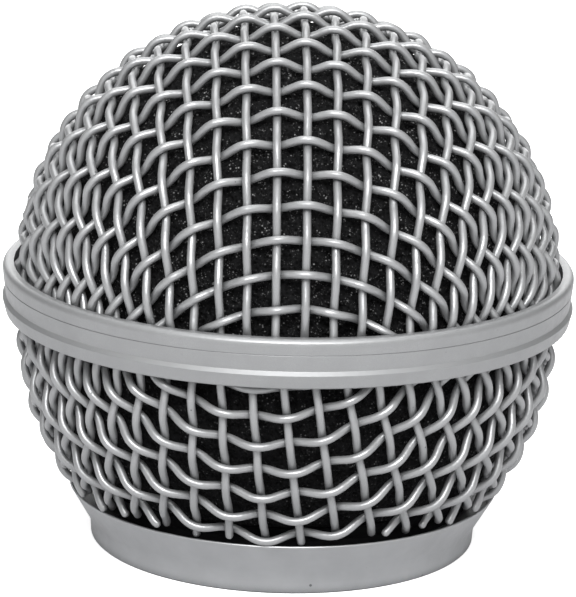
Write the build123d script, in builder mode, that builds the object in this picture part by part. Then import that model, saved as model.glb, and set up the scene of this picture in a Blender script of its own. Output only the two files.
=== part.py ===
from build123d import *
import math
import os

# Screw-on ball grille of a dynamic vocal microphone.
#
# Two hemispheres of plain-woven wire meet at a two-piece waist band. The lower one is cut open above a
# turned collar, which screws onto the microphone's handle. Foam lines both halves and leaves room for the
# capsule. Millimetres, +Z up, origin on the axis at the collar's bottom face, front towards -Y.

# ---------------------------------------------------------------- driving dimensions
WIRE_DIAMETER = 0.71
WEFT_CRIMP = 0.50            # how far a weft wire bows out of, or into, the cloth's middle surface
WARP_CRIMP = 0.25            # the warp wires are the stiffer ones and bow less

DOME_RADIUS = 23.6           # middle surface of the upper cloth
DOME_CENTRE_Z = 24.1
DOME_WIRE_END_Z = 23.1       # the dome's wires end inside the band
DOME_TURN = 1.9              # the upper cloth sits square on its dome, turned a little about the axis
DOME_PITCHES = (2.648, 2.901)
DOME_OFFSETS = (0.298, 0.662)
DOME_STRETCH = 0.0
DOME_GATHER = 0.082

BOWL_RADIUS = 23.45          # middle surface of the lower cloth
BOWL_CENTRE_Z = 19.6
BOWL_WIRE_END_Z = 22.7
BOWL_CUT_Z = 5.3             # the bowl's wires are cut off in a ring above the collar
BOWL_CUT_SPREAD = 0.6        # the cut is uneven by this much
BOWL_TILT_FRONT = -13.0      # the lower cloth slid in its press: its pole lies off the axis,
BOWL_TILT_SIDE = -6.9        # towards the front and to the right
BOWL_PITCHES = (3.207, 2.742)
BOWL_OFFSETS = (-0.004, 0.111)
BOWL_STRETCH = -0.10
BOWL_GATHER = 0.21
PAINTED_TIP_RADIUS = 0.345

BAND_TOP_Z = 25.25
BAND_SEAM_Z = 23.82
BAND_BEAD_Z = 22.08
BAND_BOTTOM_Z = 20.87
BAND_RADIUS = 25.55          # the lip's sharp corner, before it is rounded to 25.5
BEAD_RADIUS = 25.5
BAND_WAIST_RADIUS = 25.22    # just above the bead
BAND_FOOT_RADIUS = 25.2
BAND_BORE_RADIUS = 24.5
LIP_ROUND = 0.5
LIP_FALL = 0.05              # the lip's top face dips towards the mesh
BEAD_HEIGHT = 0.34           # of the shelf above the bead
BAND_FOOT_ROUND = 0.18

CLAMP_OUTER_RADIUS = 22.2
CLAMP_WALL = 0.75
CLAMP_BOTTOM_Z = 21.1
CLAMP_TOP_Z = 24.0

COLLAR_FOOT_RADIUS = 17.31
COLLAR_NECK_RADIUS = 17.42
COLLAR_NECK_Z = 1.6
COLLAR_RIM_RADIUS = 19.43
COLLAR_RIM_Z = 5.0
COLLAR_RIM_WALL = 0.3
COLLAR_FLOOR_Z = 3.9         # floor of the groove behind the rim
COLLAR_FLOOR_RADIUS = 18.55
SEAT_BORE_RADIUS = 16.9      # the seat ring is pressed in here
SEAT_BORE_Z = 3.0
RIM_ROUND = 0.12
NECK_ROUND = 2.5
FOOT_CHAMFER = 0.12

THREAD_MINOR_RADIUS = 15.9
THREAD_DEPTH = 0.4
THREAD_PITCH = 0.8
THREAD_CHAMFER = 0.35
THREAD_OVERCUT = 0.1
GROOVE_HALF_WIDTH = 0.36 * THREAD_PITCH

SEAT_SPHERE_RADIUS = 22.5    # the flange of the seat ring backs the inside of the bowl
SEAT_WALL = 0.5
SEAT_TOP_Z = 6.2
PRESS_FIT = 0.01             # clearance left around the pressed-in skirt

FOAM_WALL = 5.0
FOAM_DOME_RADIUS = 22.6
FOAM_DOME_Z = 24.1
FOAM_BOWL_RADIUS = 22.35
FOAM_BOWL_BOTTOM_Z = 6.3
FOAM_BOWL_TOP_Z = 20.95
CAPSULE_BORE_RADIUS = 15.0

EDGE_BREAK = 0.05            # small chamfers on turned edges
STEPS_PER_PITCH = 4          # fineness of the draped net
NET_REACH = 17               # pitches from the pole that the net is worked out to
QUARTER_TURN = math.pi / 2
POINTS_PER_PITCH = 3         # how closely a wire's centre line is worked out
DOME_SECTION_SPACING = 1.2   # between the cross-sections that a wire is lofted through
BOWL_SECTION_SPACING = 1.0
SHORTEST_WIRE = 2            # in pitches: shorter offcuts fall out of the cloth
FOLDED = 1e-6                # a net cell with less room than this has folded flat: no cloth beyond it
END_STEPS = 20               # halvings that find where a wire's cut end is
CUT_WAVE = 2.1               # how the hand-made cut wanders from wire to wire, radians per wire


# ---------------------------------------------------------------- cloth draped over a sphere
def press(angle):
    """How far the press has drawn the cloth at this angle from the pole: 0 at the pole, 1 at the rim."""
    return (angle / QUARTER_TURN) ** 2


def cloth_length(step, place, direction, stretch, gather):
    """A net step's angle: stretched where it runs down the sphere, gathered where it runs around it."""
    angle = math.acos(max(-1.0, min(1.0, place.Z)))
    meridian = Vector(place.X * place.Z, place.Y * place.Z, -(place.X**2 + place.Y**2))
    share = 0.0
    if meridian.length > FOLDED:
        share = meridian.normalized().dot(direction.normalized()) ** 2
    return step * (1 + press(angle) * (stretch * share - gather * (1 - share)))


def drape_quadrant(weft_step, warp_step, stretch, gather):
    """Unit vectors of a woven net on the unit sphere, from its pole out to +X (a) and to -Y (b).

    Every cell keeps the lengths of its sides, so the cloth can only follow the sphere by shearing.
    """
    count = NET_REACH * STEPS_PER_PITCH
    net = {}
    for step, heading, key in (
        (weft_step, Vector(1, 0, 0), lambda k: (k, 0)),
        (warp_step, Vector(0, -1, 0), lambda k: (0, k)),
    ):
        angle = 0.0
        for k in range(count + 1):
            net[key(k)] = heading * math.sin(angle) + Vector(0, 0, math.cos(angle))
            angle += step * (1 + stretch * press(angle + step / 2))
    for a in range(1, count + 1):
        for b in range(1, count + 1):
            corner, left, right = (net.get(k) for k in ((a - 1, b - 1), (a - 1, b), (a, b - 1)))
            if left is None or right is None or corner is None:
                continue
            cos_weft = math.cos(cloth_length(weft_step, left, right - corner, stretch, gather))
            cos_warp = math.cos(cloth_length(warp_step, right, left - corner, stretch, gather))
            spread = left.dot(right)
            room = 1 - spread**2
            if room < FOLDED:
                continue
            share_left = (cos_weft - cos_warp * spread) / room
            share_right = (cos_warp - cos_weft * spread) / room
            flat = share_left**2 + share_right**2 + 2 * share_left * share_right * spread
            if flat >= 1:
                continue
            lift = left.cross(right)
            if lift.dot(corner) > 0:
                lift = -lift
            node = left * share_left + right * share_right + lift * math.sqrt((1 - flat) / room)
            net[(a, b)] = node.normalized()
    return net


def net_point(net, u, v):
    """The net's direction at u pitches towards +X and v pitches towards -Y, or None off its edge."""
    a, b = abs(u) * STEPS_PER_PITCH, abs(v) * STEPS_PER_PITCH
    a0, b0 = int(a), int(b)
    fa, fb = a - a0, b - b0
    corners = [net.get((a0 + i, b0 + j)) for i in (0, 1) for j in (0, 1)]
    if None in corners:
        return None
    low = corners[0] * (1 - fb) + corners[1] * fb
    high = corners[2] * (1 - fb) + corners[3] * fb
    point = (low * (1 - fa) + high * fa).normalized()
    return Vector(math.copysign(point.X, u), math.copysign(point.Y, -v), point.Z)


def wire_runs(place, crimp, phase, keep):
    """The crimped centre lines of one wire: a list of runs, each a list of evenly spaced points.

    place(s, offset) gives the point at s pitches along the wire, offset out from the middle surface, or
    None. phase is +1 or -1, the side of the cloth at crossing 0. keep(point) says where cloth is left.
    """
    def crimped(s):
        return place(s, crimp * phase * math.cos(math.pi * s))

    def kept(s):
        point = crimped(s)
        return point is not None and keep(point)

    def wire_end(inside, outside):
        for _ in range(END_STEPS):
            middle = (inside + outside) / 2
            inside, outside = (middle, outside) if kept(middle) else (inside, middle)
        return inside

    runs, run = [], []
    for s in range(-NET_REACH, NET_REACH + 1):
        if kept(s):
            run.append(s)
        elif run:
            first, last = wire_end(run[0], run[0] - 1), wire_end(run[-1], s)
            if last - first > SHORTEST_WIRE:
                count = round((last - first) * POINTS_PER_PITCH)
                runs.append([crimped(first + (last - first) * k / count) for k in range(count + 1)])
            run = []
    return runs


def weave(radius, pitches, offsets, parity, centre_z, turn, keep_for, stretch, gather):
    """Both families of centre lines of a pressed cloth: (warp runs, weft runs).

    pitches and offsets are (weft direction, warp direction): the spacing of the crossings and the
    place of crossing (0, 0) against the pole. turn carries a unit direction into the part's frame.
    """
    steps = [pitch / radius / STEPS_PER_PITCH for pitch in pitches]
    net = drape_quadrant(steps[0], steps[1], stretch, gather)

    def place(u, v, offset):
        direction = net_point(net, u, v)
        if direction is None:
            return None
        return turn(direction) * (radius + offset) + Vector(0, 0, centre_z)

    warp, weft = [], []
    for k in range(-NET_REACH, NET_REACH + 1):
        side = parity * (-1) ** k
        keep = keep_for(k)
        warp += wire_runs(
            lambda s, out: place(k + offsets[0], s + offsets[1], out), WARP_CRIMP, -side, keep)
        weft += wire_runs(
            lambda s, out: place(s + offsets[0], k + offsets[1], out), WEFT_CRIMP, side, keep)
    return warp, weft


def wire_group(runs, label, centre_z, section_spacing):
    """A round wire along each centre line, lofted through its cross-sections: a group of solids.

    An end that shows, which is one below the band, is rounded over by its paint.
    """
    wires = []
    for points in runs:
        centre_line = Edge.make_spline(points)
        count = round(centre_line.length / section_spacing)
        cut_ends = [end for end in (points[0], points[-1]) if end.Z < BAND_BOTTOM_Z]
        with BuildPart() as wire:
            for k in range(count + 1):
                point, along = centre_line @ (k / count), centre_line % (k / count)
                outward = point - Vector(0, 0, centre_z)
                across = outward - along * outward.dot(along)
                with BuildSketch(Plane(origin=point, x_dir=across, z_dir=along)):
                    Circle(WIRE_DIAMETER / 2)
            loft()
            if cut_ends:
                with Locations(cut_ends):
                    Sphere(PAINTED_TIP_RADIUS)
        wires.append(wire.part.solids().sort_by(SortBy.VOLUME)[-1])
    return Compound(label=label, children=wires)


def turn_dome(direction):
    return direction.rotate(Axis.Z, DOME_TURN)


def keep_dome(point):
    return point.Z > DOME_WIRE_END_Z


def turn_bowl(direction):
    flipped = Vector(direction.X, direction.Y, -direction.Z)
    return flipped.rotate(Axis.X, BOWL_TILT_FRONT).rotate(Axis.Y, BOWL_TILT_SIDE)


def keep_bowl_for(k):
    """The cut above the collar is made by hand: it differs a little from wire to wire."""
    cut_z = BOWL_CUT_Z + BOWL_CUT_SPREAD * abs(math.sin(CUT_WAVE * k)) ** 3
    return lambda point: cut_z < point.Z < BOWL_WIRE_END_Z


dome_warp, dome_weft = weave(
    DOME_RADIUS, DOME_PITCHES, DOME_OFFSETS, 1, DOME_CENTRE_Z, turn_dome,
    lambda k: keep_dome, DOME_STRETCH, DOME_GATHER)
bowl_warp, bowl_weft = weave(
    BOWL_RADIUS, BOWL_PITCHES, BOWL_OFFSETS, -1, BOWL_CENTRE_Z, turn_bowl,
    keep_bowl_for, BOWL_STRETCH, BOWL_GATHER)

dome_warp_wires = wire_group(dome_warp, "dome_warp_wires", DOME_CENTRE_Z, DOME_SECTION_SPACING)
dome_weft_wires = wire_group(dome_weft, "dome_weft_wires", DOME_CENTRE_Z, DOME_SECTION_SPACING)
bowl_warp_wires = wire_group(bowl_warp, "bowl_warp_wires", BOWL_CENTRE_Z, BOWL_SECTION_SPACING)
bowl_weft_wires = wire_group(bowl_weft, "bowl_weft_wires", BOWL_CENTRE_Z, BOWL_SECTION_SPACING)


# ---------------------------------------------------------------- waist band
def band_radius(z):
    """The band's side leans out from its waist to its lip."""
    share = (z - BAND_BEAD_Z) / (BAND_TOP_Z - BAND_BEAD_Z)
    return BAND_WAIST_RADIUS + (BAND_RADIUS - BAND_WAIST_RADIUS) * share


def widest(edges):
    """The circle of the largest radius."""
    return edges.filter_by(GeomType.CIRCLE).sort_by(SortBy.RADIUS)[-1]


with BuildPart() as upper_band_ring:
    with BuildSketch(Plane.XZ):
        with BuildLine():
            Polyline(
                (BAND_BORE_RADIUS, BAND_SEAM_Z),
                (band_radius(BAND_SEAM_Z), BAND_SEAM_Z),
                (BAND_RADIUS, BAND_TOP_Z),
                (BAND_BORE_RADIUS, BAND_TOP_Z - LIP_FALL),
                close=True,
            )
        make_face()
    revolve(axis=Axis.Z)
    fillet(widest(upper_band_ring.edges()), LIP_ROUND)
    chamfer(widest(upper_band_ring.edges().group_by(Axis.Z)[0]), EDGE_BREAK)
upper_band_ring.part.label = "upper_band_ring"

with BuildPart() as lower_band_ring:
    with BuildSketch(Plane.XZ):
        with BuildLine():
            Polyline(
                (BAND_BORE_RADIUS, BAND_BOTTOM_Z),
                (BAND_FOOT_RADIUS, BAND_BOTTOM_Z),
                (BEAD_RADIUS, BAND_BEAD_Z),
                (BAND_WAIST_RADIUS, BAND_BEAD_Z + BEAD_HEIGHT),
                (band_radius(BAND_SEAM_Z), BAND_SEAM_Z),
                (BAND_BORE_RADIUS, BAND_SEAM_Z),
                close=True,
            )
        make_face()
    revolve(axis=Axis.Z)
    chamfer(widest(lower_band_ring.edges().group_by(Axis.Z)[-1]), EDGE_BREAK)
    fillet(widest(lower_band_ring.edges()), EDGE_BREAK)
    fillet(widest(lower_band_ring.edges().group_by(Axis.Z)[0]), BAND_FOOT_ROUND)
lower_band_ring.part.label = "lower_band_ring"

with BuildPart() as inner_clamp_ring:
    with BuildSketch(Plane.XY.offset(CLAMP_BOTTOM_Z)):
        Circle(CLAMP_OUTER_RADIUS)
        Circle(CLAMP_OUTER_RADIUS - CLAMP_WALL, mode=Mode.SUBTRACT)
    extrude(amount=CLAMP_TOP_Z - CLAMP_BOTTOM_Z)
    chamfer(inner_clamp_ring.edges().filter_by(GeomType.CIRCLE), EDGE_BREAK * 3)
inner_clamp_ring.part.label = "inner_clamp_ring"


# ---------------------------------------------------------------- collar
# The thread's groove, which starts below the foot and runs out into the seat's bore.
with BuildPart() as thread_groove:
    with BuildLine():
        Helix(
            pitch=THREAD_PITCH,
            height=SEAT_BORE_Z + 2 * THREAD_PITCH,
            radius=THREAD_MINOR_RADIUS,
            center=(0, 0, -THREAD_PITCH),
        )
    with BuildSketch(Plane.XZ):
        with BuildLine():
            Polyline(
                (THREAD_MINOR_RADIUS - THREAD_OVERCUT, -THREAD_PITCH - GROOVE_HALF_WIDTH),
                (THREAD_MINOR_RADIUS + THREAD_DEPTH, -THREAD_PITCH),
                (THREAD_MINOR_RADIUS - THREAD_OVERCUT, -THREAD_PITCH + GROOVE_HALF_WIDTH),
                close=True,
            )
        make_face()
    sweep(is_frenet=True)

with BuildPart() as collar:
    with BuildSketch(Plane.XZ):
        with BuildLine():
            Polyline(
                (THREAD_MINOR_RADIUS, 0),
                (COLLAR_FOOT_RADIUS, 0),
                (COLLAR_NECK_RADIUS, COLLAR_NECK_Z),
                (COLLAR_RIM_RADIUS, COLLAR_RIM_Z),
                (COLLAR_RIM_RADIUS - COLLAR_RIM_WALL, COLLAR_RIM_Z),
                (COLLAR_FLOOR_RADIUS, COLLAR_FLOOR_Z),
                (SEAT_BORE_RADIUS, COLLAR_FLOOR_Z),
                (SEAT_BORE_RADIUS, SEAT_BORE_Z),
                (THREAD_MINOR_RADIUS, SEAT_BORE_Z),
                close=True,
            )
        make_face()
    revolve(axis=Axis.Z)
    fillet(collar.edges().group_by(Axis.Z)[-1], RIM_ROUND)
    fillet(collar.edges().filter_by_position(Axis.Z, COLLAR_NECK_Z, COLLAR_NECK_Z), NECK_ROUND)
    foot_edges = collar.edges().group_by(Axis.Z)[0].filter_by(GeomType.CIRCLE).sort_by(SortBy.RADIUS)
    chamfer(foot_edges[-1], FOOT_CHAMFER)
    chamfer(foot_edges[0], THREAD_CHAMFER)
    add(thread_groove.part.rotate(Axis.Z, 180), mode=Mode.SUBTRACT)
collar.part.label = "collar"

# The dark seat ring: a short tube pressed into the collar, with a flange that follows the bowl's inside.
def bowl_depth(sphere, radius):
    """The height at which a sphere about the bowl's centre has this radius, on its lower half."""
    return BOWL_CENTRE_Z - math.sqrt(sphere**2 - radius**2)


def bowl_width(sphere, z):
    """The radius of a sphere about the bowl's centre at this height."""
    return math.sqrt(sphere**2 - (z - BOWL_CENTRE_Z) ** 2)


SKIRT_RADIUS = SEAT_BORE_RADIUS - PRESS_FIT
SKIRT_BORE_RADIUS = SKIRT_RADIUS - SEAT_WALL
SEAT_INNER_SPHERE = SEAT_SPHERE_RADIUS - SEAT_WALL
OUTER_BEND_Z = bowl_depth(SEAT_SPHERE_RADIUS, SKIRT_RADIUS)
INNER_BEND_Z = bowl_depth(SEAT_INNER_SPHERE, SKIRT_BORE_RADIUS)
OUTER_MIDDLE_Z = (OUTER_BEND_Z + SEAT_TOP_Z) / 2
INNER_MIDDLE_Z = (INNER_BEND_Z + SEAT_TOP_Z) / 2

with BuildPart() as mesh_seat_ring:
    with BuildSketch(Plane.XZ):
        with BuildLine():
            Polyline(
                (SKIRT_BORE_RADIUS, INNER_BEND_Z),
                (SKIRT_BORE_RADIUS, SEAT_BORE_Z),
                (SKIRT_RADIUS, SEAT_BORE_Z),
                (SKIRT_RADIUS, OUTER_BEND_Z),
            )
            ThreePointArc(
                (SKIRT_RADIUS, OUTER_BEND_Z),
                (bowl_width(SEAT_SPHERE_RADIUS, OUTER_MIDDLE_Z), OUTER_MIDDLE_Z),
                (bowl_width(SEAT_SPHERE_RADIUS, SEAT_TOP_Z), SEAT_TOP_Z),
            )
            Line(
                (bowl_width(SEAT_SPHERE_RADIUS, SEAT_TOP_Z), SEAT_TOP_Z),
                (bowl_width(SEAT_INNER_SPHERE, SEAT_TOP_Z), SEAT_TOP_Z),
            )
            ThreePointArc(
                (bowl_width(SEAT_INNER_SPHERE, SEAT_TOP_Z), SEAT_TOP_Z),
                (bowl_width(SEAT_INNER_SPHERE, INNER_MIDDLE_Z), INNER_MIDDLE_Z),
                (SKIRT_BORE_RADIUS, INNER_BEND_Z),
            )
        make_face()
    revolve(axis=Axis.Z)
mesh_seat_ring.part.label = "mesh_seat_ring"


# ---------------------------------------------------------------- foam
with BuildPart() as foam_dome_liner:
    with BuildSketch(Plane.XZ):
        with BuildLine():
            Line((FOAM_DOME_RADIUS - FOAM_WALL, FOAM_DOME_Z), (FOAM_DOME_RADIUS, FOAM_DOME_Z))
            CenterArc((0, FOAM_DOME_Z), FOAM_DOME_RADIUS, 0, 90)
            Line((0, FOAM_DOME_Z + FOAM_DOME_RADIUS), (0, FOAM_DOME_Z + FOAM_DOME_RADIUS - FOAM_WALL))
            CenterArc((0, FOAM_DOME_Z), FOAM_DOME_RADIUS - FOAM_WALL, 90, -90)
        make_face()
    revolve(axis=Axis.Z)
foam_dome_liner.part.label = "foam_dome_liner"

with BuildPart() as foam_bowl_liner:
    with Locations((0, 0, BOWL_CENTRE_Z)):
        Sphere(FOAM_BOWL_RADIUS)
        Sphere(FOAM_BOWL_RADIUS - FOAM_WALL, mode=Mode.SUBTRACT)
    split(bisect_by=Plane.XY.offset(FOAM_BOWL_BOTTOM_Z), keep=Keep.TOP)
    split(bisect_by=Plane.XY.offset(FOAM_BOWL_TOP_Z), keep=Keep.BOTTOM)
    with BuildSketch(Plane.XY):
        Circle(CAPSULE_BORE_RADIUS)
    extrude(amount=BOWL_CENTRE_Z, mode=Mode.SUBTRACT)
foam_bowl_liner.part.label = "foam_bowl_liner"


# ---------------------------------------------------------------- files
pieces = [
    dome_warp_wires, dome_weft_wires, bowl_warp_wires, bowl_weft_wires,
    upper_band_ring.part, lower_band_ring.part, inner_clamp_ring.part,
    collar.part, mesh_seat_ring.part, foam_dome_liner.part, foam_bowl_liner.part,
]
os.makedirs("parts", exist_ok=True)
for piece in pieces:
    export_step(piece, f"parts/{piece.label}.step")
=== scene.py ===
"""Looks of the microphone ball grille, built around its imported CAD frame.

Everything is in metres in the CAD's frame: +Z up, front towards -Y. The wires, rings and collar are the
CAD's own pieces, given painted, turned and rolled metal. The foam liners are rebuilt as pitted shells.
"""

import math

import bpy
from mathutils import Matrix, Vector, noise


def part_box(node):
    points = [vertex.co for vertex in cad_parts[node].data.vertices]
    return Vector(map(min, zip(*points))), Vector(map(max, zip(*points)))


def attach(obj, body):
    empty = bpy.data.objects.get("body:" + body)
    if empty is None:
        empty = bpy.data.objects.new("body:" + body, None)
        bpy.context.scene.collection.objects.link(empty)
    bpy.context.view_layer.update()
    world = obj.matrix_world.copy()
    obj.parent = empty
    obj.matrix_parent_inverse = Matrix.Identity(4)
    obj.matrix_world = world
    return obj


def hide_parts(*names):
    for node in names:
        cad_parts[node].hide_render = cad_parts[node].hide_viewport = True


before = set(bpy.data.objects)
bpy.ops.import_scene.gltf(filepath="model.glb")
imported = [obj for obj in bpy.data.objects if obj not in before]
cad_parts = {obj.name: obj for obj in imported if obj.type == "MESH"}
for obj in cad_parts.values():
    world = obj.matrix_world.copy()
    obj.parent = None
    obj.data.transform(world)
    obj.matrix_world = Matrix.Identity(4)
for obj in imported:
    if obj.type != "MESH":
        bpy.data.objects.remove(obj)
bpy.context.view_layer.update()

MM = 0.001


# ---------------------------------------------------------------- node material helpers
class Nodes:
    """A material's node tree with short calls to add and join nodes."""

    def __init__(self, name):
        self.material = bpy.data.materials.new(name)
        self.material.use_nodes = True
        self.tree = self.material.node_tree
        self.tree.nodes.clear()
        self.shader = self.add("ShaderNodeBsdfPrincipled")
        output = self.add("ShaderNodeOutputMaterial")
        self.join(self.shader.outputs["BSDF"], output.inputs["Surface"])
        self.place = self.add("ShaderNodeTexCoord").outputs["Object"]

    def add(self, kind, **values):
        node = self.tree.nodes.new(kind)
        for key, value in values.items():
            setattr(node, key, value)
        return node

    def join(self, start, end):
        self.tree.links.new(start, end)

    def noise(self, size_mm, detail, stretch=(1, 1, 1)):
        """Fractal noise whose features are about size_mm across; stretch scales each axis."""
        scaled = self.add("ShaderNodeVectorMath", operation="MULTIPLY")
        self.join(self.place, scaled.inputs[0])
        scaled.inputs[1].default_value = [s / (size_mm * MM) for s in stretch]
        texture = self.add("ShaderNodeTexNoise")
        texture.inputs["Scale"].default_value = 1.0
        texture.inputs["Detail"].default_value = detail
        self.join(scaled.outputs[0], texture.inputs["Vector"])
        return texture.outputs["Fac"]

    def cells(self, size_mm):
        """Distance to the nearest cell centre, in cells of about size_mm."""
        texture = self.add("ShaderNodeTexVoronoi")
        texture.inputs["Scale"].default_value = 1 / (size_mm * MM)
        self.join(self.place, texture.inputs["Vector"])
        return texture.outputs["Distance"]

    def span(self, value, low, high, to_low=0.0, to_high=1.0):
        """Maps value from low..high to to_low..to_high, clamped."""
        node = self.add("ShaderNodeMapRange")
        for key, number in zip(("From Min", "From Max", "To Min", "To Max"), (low, high, to_low, to_high)):
            node.inputs[key].default_value = number
        self.join(value, node.inputs["Value"])
        return node.outputs["Result"]

    def maths(self, operation, first, second):
        """One arithmetic step on two sockets or numbers."""
        node = self.add("ShaderNodeMath", operation=operation)
        for socket, value in zip(node.inputs, (first, second)):
            if isinstance(value, (int, float)):
                socket.default_value = value
            else:
                self.join(value, socket)
        return node.outputs[0]

    def blend(self, share, colour_a, colour_b):
        """A colour that goes from colour_a to colour_b: a Mix node's inputs 6 and 7, and its output 2."""
        node = self.add("ShaderNodeMix", data_type="RGBA")
        self.join(share, node.inputs["Factor"])
        for socket, colour in ((node.inputs[6], colour_a), (node.inputs[7], colour_b)):
            if isinstance(colour, (tuple, list)):
                socket.default_value = (*colour, 1.0)
            else:
                self.join(colour, socket)
        return node.outputs[2]

    def rings(self, spans_mm, soft_mm):
        """1 inside the given spans of height and 0 outside, with soft edges."""
        split = self.add("ShaderNodeSeparateXYZ")
        self.join(self.place, split.inputs[0])
        height = split.outputs["Z"]
        total = 0.0
        for low, high in spans_mm:
            rise = self.span(height, (low - soft_mm) * MM, (low + soft_mm) * MM)
            fall = self.span(height, (high - soft_mm) * MM, (high + soft_mm) * MM, 1.0, 0.0)
            total = self.maths("MAXIMUM", self.maths("MULTIPLY", rise, fall), total)
        return total

    def mixed(self, share, value_a, value_b):
        """A number that goes from value_a to value_b: a Mix node's inputs 2 and 3, and its output 0."""
        node = self.add("ShaderNodeMix", data_type="FLOAT")
        for socket, value in zip(node.inputs[:1] + node.inputs[2:4], (share, value_a, value_b)):
            if isinstance(value, (int, float)):
                socket.default_value = value
            else:
                self.join(value, socket)
        return node.outputs[0]

    def bump(self, height, depth_mm, below=None):
        """A normal roughened by height, on top of the one below if there is one."""
        node = self.add("ShaderNodeBump")
        node.inputs["Strength"].default_value = 1.0
        node.inputs["Distance"].default_value = depth_mm * MM
        self.join(height, node.inputs["Height"])
        if below is not None:
            self.join(below, node.inputs["Normal"])
        return node.outputs["Normal"]

    def surface(self, **inputs):
        """Sets the shader's inputs, written with _ for their spaces, and returns the material."""
        for key, value in inputs.items():
            socket = self.shader.inputs[key.replace("_", " ")]
            if isinstance(value, (int, float)):
                socket.default_value = value
            elif isinstance(value, (tuple, list)):
                socket.default_value = (*value, 1.0)
            else:
                self.join(value, socket)
        return self.material


def crevice(nodes, reach_mm, low, high):
    """1 in tight corners and 0 in the open, from the light that reaches a point."""
    shade = nodes.add("ShaderNodeAmbientOcclusion", samples=8)
    shade.inputs["Distance"].default_value = reach_mm * MM
    return nodes.span(shade.outputs["AO"], low, high, 1.0, 0.0)


# ---------------------------------------------------------------- materials
PAINT = (0.40, 0.405, 0.41)
CORNER_SHADE_AND_SPECK = (0.17, 0.175, 0.18)       # painted shade for corners and seams; on the collar also small dark specks
NICK = (0.10, 0.105, 0.11)
WORN = (0.36, 0.365, 0.37)
TURNED_BRIGHT = (0.515, 0.522, 0.53)
TURNED_DULL = (0.465, 0.472, 0.48)
PLAIN_STEEL = (0.35, 0.35, 0.36)
# near-black seat ring: painted shade for the dark channel in the collar where the mesh sits
SEAT_SHADE_BLACK = (0.02, 0.02, 0.022)
# the foam's pores are painted darker than its struts, as painted shade in the holes
FOAM_PORE_SHADE = (0.0015, 0.0015, 0.0016)
FOAM_STRUT = (0.007, 0.007, 0.0075)
PAPER = (0.93, 0.93, 0.93)
PAPER_FIBRE = (0.91, 0.91, 0.91)
PAPER_TO_OBJECT = (0.62, 0.62, 0.63)
PAPER_GLOW = 0.6
TURNING_STRETCH = (0.02, 0.02, 1)      # draws noise out into rings around the axis

LIP_WEAR = (24.97, 25.22)              # heights in mm, on the band's lip and on its bead
BEAD_WEAR = (22.08, 22.36)
WEAR_SOFT_MM = 0.03


def silver_paint(name, tone, peel_mm, speck_mm, corner_mm, worn=()):
    """Sprayed silver enamel: metal flake, a faint orange peel, painted shade in the corners, a few nicks.

    worn lists the rings, as (low, high) heights in mm, that handling has rubbed to a broad metal sheen.
    """
    nodes = Nodes(name)
    paint = tuple(tone * c for c in PAINT)
    mottle = nodes.span(nodes.noise(2.5, 4.0), 0.35, 0.7)
    colour = nodes.blend(mottle, paint, tuple(0.88 * c for c in paint))
    flake = nodes.span(nodes.noise(0.06, 1.0), 0.3, 0.7)
    colour = nodes.blend(flake, tuple(0.86 * c for c in paint), colour)
    # painted shade: darker in the corners, where little light reaches
    colour = nodes.blend(crevice(nodes, corner_mm, 0.30, 0.85), colour, CORNER_SHADE_AND_SPECK)
    near = nodes.span(nodes.cells(speck_mm), 0.05, 0.08, 1.0, 0.0)
    rare = nodes.span(nodes.noise(1.4 * speck_mm, 1.0), 0.54, 0.6)
    colour = nodes.blend(nodes.maths("MULTIPLY", near, rare), colour, NICK)
    peel = nodes.bump(nodes.noise(peel_mm, 2.0), 0.014)
    grain = nodes.bump(nodes.noise(0.05, 1.0), 0.003, peel)
    roughness = nodes.span(nodes.noise(0.7, 3.0), 0.3, 0.7, 0.31, 0.42)
    metallic = 0.5
    if worn:
        rubbed = nodes.span(nodes.noise(0.9, 4.0), 0.25, 0.5, 0.6, 1.0)
        wear = nodes.maths("MULTIPLY", nodes.rings(worn, WEAR_SOFT_MM), rubbed)
        colour = nodes.blend(wear, colour, WORN)
        roughness = nodes.mixed(wear, roughness, 0.50)
        metallic = nodes.span(wear, 0.0, 1.0, 0.5, 0.65)
    return nodes.surface(Base_Color=colour, Metallic=metallic, Roughness=roughness, Normal=grain)


def turned_metal(name):
    """Satin metal with the faint rings that turning leaves around the axis."""
    nodes = Nodes(name)
    rings = nodes.noise(0.16, 2.0, stretch=TURNING_STRETCH)
    mottle = nodes.span(nodes.noise(3.0, 4.0), 0.3, 0.7)
    colour = nodes.blend(mottle, TURNED_BRIGHT, TURNED_DULL)
    # painted shade: darker in the collar's corners, where little light reaches
    colour = nodes.blend(crevice(nodes, 1.2, 0.3, 0.8), colour, CORNER_SHADE_AND_SPECK)
    # small dark specks on the metal
    near = nodes.span(nodes.cells(2.6), 0.04, 0.06, 1.0, 0.0)
    colour = nodes.blend(near, colour, CORNER_SHADE_AND_SPECK)
    roughness = nodes.span(nodes.noise(0.9, 3.0), 0.3, 0.7, 0.31, 0.42)
    return nodes.surface(
        Base_Color=colour, Metallic=0.85, Roughness=roughness, Normal=nodes.bump(rings, 0.004))


def rolled_steel(name, colour):
    """The hidden rings: plain steel strip, and a near-black one as painted shade in the collar's channel
    where the mesh sits.
    """
    nodes = Nodes(name)
    rings = nodes.noise(0.2, 2.0, stretch=TURNING_STRETCH)
    mottle = nodes.span(nodes.noise(1.5, 4.0), 0.3, 0.7)
    tone = nodes.blend(mottle, colour, tuple(0.75 * c for c in colour))
    roughness = nodes.span(nodes.noise(0.5, 3.0), 0.3, 0.7, 0.4, 0.6)
    return nodes.surface(Base_Color=tone, Metallic=0.8, Roughness=roughness, Normal=nodes.bump(rings, 0.006))


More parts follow.
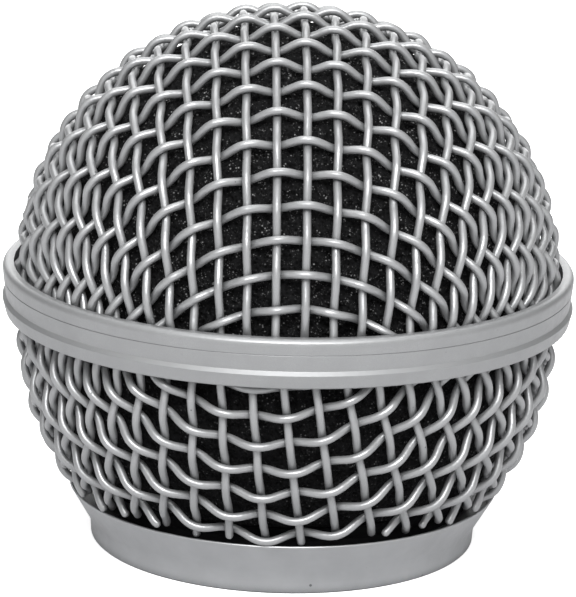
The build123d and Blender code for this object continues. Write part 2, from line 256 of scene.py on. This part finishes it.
def foam(name, glint):
    """Black open-cell foam: dull struts with a painted glint here and there, a glossier spot as bright as
    the given grey.
    """
    nodes = Nodes(name)
    cells = nodes.cells(0.32)
    # painted shade: darker in the pores, lighter on the struts
    colour = nodes.blend(nodes.span(cells, 0.2, 0.6), FOAM_PORE_SHADE, FOAM_STRUT)
    # painted glints: grey spots in the colour, with a scatter of smaller ones
    spark = nodes.maths(
        "MULTIPLY",
        nodes.span(nodes.cells(0.30), 0.16, 0.30, 1.0, 0.0),
        nodes.span(nodes.noise(0.9, 3.0), 0.50, 0.60))
    fine_glint = nodes.maths(
        "MULTIPLY",
        nodes.span(nodes.cells(0.17), 0.14, 0.28, 0.45, 0.0),
        nodes.span(nodes.noise(0.45, 3.0), 0.44, 0.60))
    spark = nodes.maths("MAXIMUM", spark, fine_glint)
    colour = nodes.blend(spark, colour, (glint, glint, glint))
    return nodes.surface(
        Base_Color=colour, Roughness=nodes.span(spark, 0.0, 1.0, 0.85, 0.35),
        Normal=nodes.bump(cells, 0.12), Specular_IOR_Level=0.12)


def floor_paper(name):
    """White paper to the camera, but grey to the object, so that it doesn't light it from below."""
    nodes = Nodes(name)
    fibre = nodes.span(nodes.noise(1.2, 4.0), 0.3, 0.7)
    colour = nodes.blend(fibre, PAPER, PAPER_FIBRE)
    seen = nodes.add("ShaderNodeLightPath").outputs["Is Camera Ray"]
    colour = nodes.blend(seen, PAPER_TO_OBJECT, colour)
    return nodes.surface(
        Base_Color=colour, Roughness=0.9, Specular_IOR_Level=0.1,
        Emission_Color=(1.0, 1.0, 1.0), Emission_Strength=nodes.maths("MULTIPLY", seen, PAPER_GLOW))


def paint_node(node, material):
    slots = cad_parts[node].data.materials
    slots.clear()
    slots.append(material)


wire_paint = silver_paint("wire_paint", tone=1.05, peel_mm=0.25, speck_mm=1.3, corner_mm=1.0)
band_paint = silver_paint(
    "band_paint", tone=0.95, peel_mm=0.5, speck_mm=2.1, corner_mm=0.12, worn=(LIP_WEAR, BEAD_WEAR))
for cloth in ("dome_warp_wires", "dome_weft_wires", "bowl_warp_wires", "bowl_weft_wires"):
    paint_node(cloth, wire_paint)
for ring in ("upper_band_ring", "lower_band_ring"):
    paint_node(ring, band_paint)
paint_node("inner_clamp_ring", rolled_steel("clamp_steel", PLAIN_STEEL))
# the seat ring is near-black as painted shade in the collar's channel
paint_node("mesh_seat_ring", rolled_steel("seat_shade_black", SEAT_SHADE_BLACK))
paint_node("collar", turned_metal("collar_metal"))


# ---------------------------------------------------------------- foam liners
FOAM_CELL_MM = 0.85
FOAM_PIT_MM = 0.38
PIT_REACH = 0.62      # a pit starts this far from its cell's middle, in cells
PIT_SLOPE = 0.45      # and is at its full depth this much nearer to it
FOAM_FOOT_MM = 0.8    # the pits deepen over this height above the foot, so that no light slips in there
FOAM_COLUMNS = 420
FOAM_ROW_MM = 0.32
# greys of the foam's painted glints, dimmer in the bowl
DOME_GLINT = 0.26
BOWL_GLINT = 0.10


def pit(point):
    """How deep the foam's skin is pitted here, 0 on the struts to 1 in a cell's middle."""
    spot = point / (FOAM_CELL_MM * MM)
    distance = noise.voronoi(spot)[0][0]
    return max(0.0, min(1.0, (PIT_REACH - distance) / PIT_SLOPE))


def arc(centre_z, radius, start, end):
    """Points (r, z) along a circle about the axis point centre_z, angles above the horizon, radians."""
    count = max(2, round(radius * abs(end - start) / (FOAM_ROW_MM * MM)))
    angles = [start + (end - start) * k / count for k in range(count + 1)]
    return [(radius * math.cos(a), centre_z + radius * math.sin(a)) for a in angles]


def line(start, end):
    """Points (r, z) between two profile points, without the ends."""
    count = max(2, round(math.dist(start, end) / (FOAM_ROW_MM * MM)))
    return [tuple(a + (b - a) * k / count for a, b in zip(start, end)) for k in range(1, count)]


def pitted_shell(name, profile, closed):
    """Revolves a profile of (r, z) points and pits its skin inwards, but not at its foot.

    The profile runs down the outside and back up the inside. An open one starts and ends on the axis.
    """
    verts, rows = [], []
    count = len(profile)
    foot = min(z for radius, z in profile)
    for k, (radius, z) in enumerate(profile):
        before, after = profile[k - 1], profile[(k + 1) % count]
        if not closed and k in (0, count - 1):
            rows.append([len(verts)])
            verts.append(Vector((0, 0, z)))
            continue
        along = Vector((after[0] - before[0], after[1] - before[1])).normalized()
        inward = Vector((along.y, -along.x))
        depth = FOAM_PIT_MM * MM * min(1.0, (z - foot) / (FOAM_FOOT_MM * MM))
        row = []
        for c in range(FOAM_COLUMNS):
            turn = 2 * math.pi * (c + 0.5 * (k % 2)) / FOAM_COLUMNS
            flat = Vector((math.cos(turn), math.sin(turn), 0))
            point = flat * radius + Vector((0, 0, z))
            push = flat * inward.x + Vector((0, 0, inward.y))
            row.append(len(verts))
            verts.append(point + push * pit(point) * depth)
        rows.append(row)
    faces = []
    pairs = list(zip(rows, rows[1:])) + ([(rows[-1], rows[0])] if closed else [])
    for low, high in pairs:
        for c in range(FOAM_COLUMNS):
            d = (c + 1) % FOAM_COLUMNS
            if len(low) == 1:
                faces.append((low[0], high[c], high[d]))
            elif len(high) == 1:
                faces.append((low[c], high[0], low[d]))
            else:
                faces.append((low[c], high[c], high[d], low[d]))
    mesh = bpy.data.meshes.new(name)
    mesh.from_pydata(verts, [], faces)
    mesh.validate()
    piece = bpy.data.objects.new(name, mesh)
    bpy.context.collection.objects.link(piece)
    return piece


def foam_piece(name, node, profile, closed, material):
    piece = pitted_shell(name, profile, closed)
    piece.data.materials.append(material)
    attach(piece, "root")
    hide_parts(node)


foam_wall = 5.0 * MM
bowl_centre = 19.6 * MM                # height of the centre of the bowl's spheres
bowl_bore = 15.0 * MM                  # radius of the capsule's hole through the bowl's foam

dome_low, dome_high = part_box("foam_dome_liner")
dome_radius = dome_high[0]
dome_base = dome_low[2]
dome_profile = arc(dome_base, dome_radius, math.pi / 2, 0)
dome_profile += line(dome_profile[-1], (dome_radius - foam_wall, dome_base))
dome_profile += arc(dome_base, dome_radius - foam_wall, 0, math.pi / 2)
foam_piece(
    "foam_dome", "foam_dome_liner", dome_profile, closed=False,
    material=foam("foam_black", DOME_GLINT))

bowl_low, bowl_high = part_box("foam_bowl_liner")
bowl_radius = bowl_high[0]
inner_radius = bowl_radius - foam_wall
top_angle = math.asin((bowl_high[2] - bowl_centre) / bowl_radius)
bottom_angle = math.asin((bowl_low[2] - bowl_centre) / bowl_radius)
inner_top = math.asin((bowl_high[2] - bowl_centre) / inner_radius)
inner_bottom = -math.acos(bowl_bore / inner_radius)
outer = arc(bowl_centre, bowl_radius, top_angle, bottom_angle)
inner = arc(bowl_centre, inner_radius, inner_bottom, inner_top)
bore_foot = (bowl_bore, bowl_low[2])
bowl_profile = (
    outer + line(outer[-1], bore_foot) + [bore_foot] + line(bore_foot, inner[0])
    + inner + line(inner[-1], outer[0]))
foam_piece(
    "foam_bowl", "foam_bowl_liner", bowl_profile, closed=True,
    material=foam("foam_black_low", BOWL_GLINT))


# ---------------------------------------------------------------- studio
FLOOR_HALF = 1.5
MIDDLE = (0, 0, 0.025)                 # about the object's middle, where the key and back lights aim
FLOOR_BEHIND = (0, 0.45, 0)            # where the overhead light aims
TENT_FACING = (0.06, -0.8, 0.6)        # towards the bright side of the light tent
TENT_DIM_AT = -0.2                     # cosines of the angle from there at which the tent is dim
TENT_BRIGHT_AT = 0.9                   # and is bright


def stage_floor():
    half = FLOOR_HALF
    mesh = bpy.data.meshes.new("floor")
    corners = [(-half, -half, 0), (half, -half, 0), (half, half, 0), (-half, half, 0)]
    mesh.from_pydata(corners, [], [(0, 1, 2, 3)])
    floor = bpy.data.objects.new("floor", mesh)
    floor.data.materials.append(floor_paper("floor_paper"))
    bpy.context.collection.objects.link(floor)


def softbox(name, place, aim, size, power):
    """A rectangular light at place, aimed at a point, in metres and watts."""
    lamp = bpy.data.lights.new(name, "AREA")
    lamp.shape = "RECTANGLE"
    lamp.size, lamp.size_y = size
    lamp.energy = power
    holder = bpy.data.objects.new(name, lamp)
    holder.location = place
    holder.rotation_euler = (Vector(aim) - Vector(place)).to_track_quat("-Z", "Y").to_euler()
    bpy.context.collection.objects.link(holder)


def studio_world(bright, dim):
    """A soft tent of light: bright above and in front of the object, dim behind it."""
    world = bpy.data.worlds.new("studio")
    world.use_nodes = True
    tree = world.node_tree
    place = tree.nodes.new("ShaderNodeTexCoord")
    facing = tree.nodes.new("ShaderNodeVectorMath")
    facing.operation = "DOT_PRODUCT"
    facing.inputs[1].default_value = Vector(TENT_FACING).normalized()
    tree.links.new(place.outputs["Generated"], facing.inputs[0])
    strength = tree.nodes.new("ShaderNodeMapRange")
    strength.interpolation_type = "SMOOTHSTEP"
    for key, number in (
            ("From Min", TENT_DIM_AT), ("From Max", TENT_BRIGHT_AT), ("To Min", dim), ("To Max", bright)):
        strength.inputs[key].default_value = number
    tree.links.new(facing.outputs["Value"], strength.inputs["Value"])
    tree.links.new(strength.outputs["Result"], tree.nodes["Background"].inputs["Strength"])
    tree.nodes["Background"].inputs["Color"].default_value = (1.0, 1.0, 1.0, 1.0)
    bpy.context.scene.world = world


bpy.context.scene.view_settings.view_transform = "Standard"
stage_floor()
studio_world(bright=0.76, dim=0.10)
softbox("key", (0, -0.44, 0.45), MIDDLE, size=(0.36, 0.22), power=3.4)
softbox("back_fill", (0, 0.55, 0.16), MIDDLE, size=(0.5, 0.3), power=1.2)
softbox("overhead", (0, 0.45, 0.95), FLOOR_BEHIND, size=(0.9, 0.9), power=6.0)


# ---------------------------------------------------------------- camera
CAMERA_FALL = math.radians(15.26)      # looks down this much
CAMERA_ROLL = math.radians(1.52)
CAMERA_DISTANCE = 358.04 * MM          # along the view, to the middle of the band's lip
CAMERA_SHIFT = (0.05 * MM, 3.02 * MM)  # the lip's middle stands right of and above the picture's middle
LENS_PER_HEIGHT = 6.710                # focal length over the picture's height
SENSOR_MM = 36.0
LIP_HEIGHT = 25.0 * MM                 # halfway up the lip's rounding

lip_middle = Vector((0, 0, LIP_HEIGHT))
forward = Vector((0, math.cos(CAMERA_FALL), -math.sin(CAMERA_FALL)))
level_up = Vector((0, math.sin(CAMERA_FALL), math.cos(CAMERA_FALL)))
right = Vector((1, 0, 0)) * math.cos(CAMERA_ROLL) + level_up * math.sin(CAMERA_ROLL)
up = level_up * math.cos(CAMERA_ROLL) - Vector((1, 0, 0)) * math.sin(CAMERA_ROLL)

camera = bpy.data.objects.new("camera", bpy.data.cameras.new("camera"))
camera.data.sensor_width = SENSOR_MM
camera.data.lens = SENSOR_MM * LENS_PER_HEIGHT
camera.data.clip_start = 0.01
camera.data.clip_end = 10
axes = Matrix((right, up, -forward)).transposed().to_4x4()
place = lip_middle - forward * CAMERA_DISTANCE - right * CAMERA_SHIFT[0] - up * CAMERA_SHIFT[1]
camera.matrix_world = Matrix.Translation(place) @ axes
bpy.context.collection.objects.link(camera)
bpy.context.scene.camera = camera
